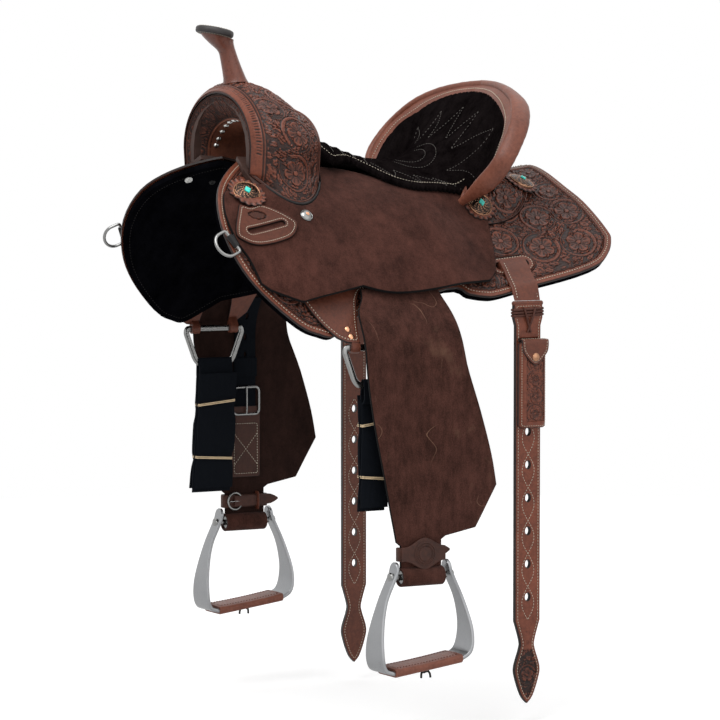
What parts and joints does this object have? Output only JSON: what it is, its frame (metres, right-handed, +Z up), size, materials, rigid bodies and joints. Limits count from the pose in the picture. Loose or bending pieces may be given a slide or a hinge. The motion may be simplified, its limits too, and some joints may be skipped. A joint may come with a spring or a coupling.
{
  "type": "barrel racing saddle",
  "caption": "Western barrel racing saddle with a tall horn, deep seat, tooled skirts, fenders with bent stirrups, rigging rings, strap bundles and rear billets.",
  "frame": {"origin": "on the centreline, midway along the skirts, level with the top of the rack or withers at the skirts' front end", "axes": "+Z up, -Y towards the horse's head, +X to the horse's near (left) side"},
  "size_m": [0.634, 0.6851, 1.0364],
  "materials": {
    "tooled_leather": "satin, tooled and antiqued",
    "smooth_leather": "satin, burnished",
    "rough_leather": "roughout, matte",
    "suede": "suede, matte",
    "lining": "felted fleece, matte",
    "tree_wood": "rawhide-covered wood",
    "steel": "brushed",
    "aluminium": "satin, bent plate",
    "concho_metal": "antiqued, dark",
    "nylon": "webbing, matte",
    "binding": "rawhide binding, dark grey"
  },
  "bodies": {
    "saddle": {"billet_loop_left": "tooled_leather", "billet_loop_right": "tooled_leather", "cantle_back": "tooled_leather", "cantle_roll": "smooth_leather", "concho_front_left": "concho_metal", "concho_front_right": "concho_metal", "concho_rear_left": "concho_metal", "concho_rear_right": "concho_metal", "concho_side_left": "concho_metal", "concho_side_right": "concho_metal", "dee_clip_left": "binding", "dee_clip_right": "binding", "gullet_lining": "smooth_leather", "horn_cap": "binding", "horn_neck_wrap": "smooth_leather", "horn_post": "steel", "latigo_keeper_left": "tooled_leather", "latigo_keeper_right": "tooled_leather", "rigging_leather_left": "tooled_leather", "rigging_leather_right": "tooled_leather", "seat_jockey_left": "rough_leather", "seat_jockey_right": "rough_leather", "seat_pad": "suede", "skirt_left": "tooled_leather", "skirt_lining_left": "lining", "skirt_lining_right": "lining", "skirt_right": "tooled_leather", "stirrup_leather_top_left": "nylon", "stirrup_leather_top_right": "nylon", "swell_cover": "tooled_leather", "tree_bar_left": "tree_wood", "tree_bar_right": "tree_wood", "tree_cantle": "tree_wood", "tree_fork": "tree_wood"},
    "stirrup_hanger_left": {"stirrup_leather_bend_left": "nylon"},
    "fender_unit_left": {"fender_left": "rough_leather", "stirrup_strap_left": "nylon", "stirrup_buckle_left": "steel", "hobble_strap_left": "smooth_leather"},
    "stirrup_unit_left": {"stirrup_left": "aluminium", "stirrup_bolt_left": "steel", "tread_cover_left": "smooth_leather"},
    "rigging_ring_unit_left": {"rigging_ring_left": "steel"},
    "strap_bundle_left": {"latigo_bundle_left": "nylon"},
    "dee_unit_left": {"breast_dee_left": "steel"},
    "billet_unit_left": {"rear_billet_left": "tooled_leather", "billet_pouch": "tooled_leather"},
    "stirrup_hanger_right": {"stirrup_leather_bend_right": "nylon"},
    "fender_unit_right": {"fender_right": "rough_leather", "stirrup_strap_right": "nylon", "stirrup_buckle_right": "steel", "hobble_strap_right": "smooth_leather"},
    "stirrup_unit_right": {"stirrup_right": "aluminium", "stirrup_bolt_right": "steel", "tread_cover_right": "smooth_leather"},
    "rigging_ring_unit_right": {"rigging_ring_right": "steel"},
    "strap_bundle_right": {"off_billet_bundle_right": "nylon"},
    "dee_unit_right": {"breast_dee_right": "steel"},
    "billet_unit_right": {"rear_billet_right": "tooled_leather"},
    "flap_unit": {"pouch_flap": "tooled_leather"}
  },
  "joints": [
    {"name": "fender_lift_left", "type": "hinge", "parent": "saddle", "child": "stirrup_hanger_left", "pos_m": [0.23882, -0.071, -0.22603], "axis": [0, -1, 0], "range_deg": [0, 42]},
    {"name": "fender_swing_left", "type": "hinge", "parent": "stirrup_hanger_left", "child": "fender_unit_left", "pos_m": [0.24147, -0.071, -0.22978], "axis": [0.9878, 0, 0.156], "range_deg": [-11, 12]},
    {"name": "stirrup_tilt_left", "type": "hinge", "parent": "fender_unit_left", "child": "stirrup_unit_left", "pos_m": [0.28803, -0.071, -0.64132], "axis": [0, -1, 0], "range_deg": [-60, 60]},
    {"name": "ring_hinge_left", "type": "hinge", "parent": "saddle", "child": "rigging_ring_unit_left", "pos_m": [0.26409, -0.137, -0.29756], "axis": [0, -1, 0], "range_deg": [-45, 2]},
    {"name": "bundle_swing_left", "type": "hinge", "parent": "rigging_ring_unit_left", "child": "strap_bundle_left", "pos_m": [0.26409, -0.137, -0.35356], "axis": [0, -1, 0], "range_deg": [-30, 4]},
    {"name": "dee_hinge_left", "type": "hinge", "parent": "saddle", "child": "dee_unit_left", "pos_m": [0.18978, -0.3345, -0.13864], "axis": [0.427, 0.4508, -0.7839], "range_deg": [-40, 12]},
    {"name": "billet_swing_left", "type": "hinge", "parent": "saddle", "child": "billet_unit_left", "pos_m": [0.2515, 0.137, -0.24], "axis": [0, -1, 0], "range_deg": [-20, 80]},
    {"name": "fender_lift_right", "type": "hinge", "parent": "saddle", "child": "stirrup_hanger_right", "pos_m": [-0.23882, -0.071, -0.22603], "axis": [0, 1, 0], "range_deg": [0, 42]},
    {"name": "fender_swing_right", "type": "hinge", "parent": "stirrup_hanger_right", "child": "fender_unit_right", "pos_m": [-0.24147, -0.071, -0.22978], "axis": [0.9878, 0, -0.156], "range_deg": [-11, 12]},
    {"name": "stirrup_tilt_right", "type": "hinge", "parent": "fender_unit_right", "child": "stirrup_unit_right", "pos_m": [-0.28803, -0.071, -0.61532], "axis": [0, 1, 0], "range_deg": [-60, 60]},
    {"name": "ring_hinge_right", "type": "hinge", "parent": "saddle", "child": "rigging_ring_unit_right", "pos_m": [-0.26409, -0.137, -0.29756], "axis": [0, 1, 0], "range_deg": [-45, 2]},
    {"name": "bundle_swing_right", "type": "hinge", "parent": "rigging_ring_unit_right", "child": "strap_bundle_right", "pos_m": [-0.26409, -0.137, -0.35356], "axis": [0, 1, 0], "range_deg": [-30, 4]},
    {"name": "dee_hinge_right", "type": "hinge", "parent": "saddle", "child": "dee_unit_right", "pos_m": [-0.18978, -0.3345, -0.13864], "axis": [0.427, -0.4508, 0.7839], "range_deg": [-40, 12]},
    {"name": "billet_swing_right", "type": "hinge", "parent": "saddle", "child": "billet_unit_right", "pos_m": [-0.2515, 0.112, -0.24], "axis": [0, 1, 0], "range_deg": [-20, 80]},
    {"name": "pouch_flap_hinge", "type": "hinge", "parent": "billet_unit_left", "child": "flap_unit", "pos_m": [0.2563, 0.141, -0.2939], "axis": [0, -1, 0], "range_deg": [0, 100]}
  ]
}
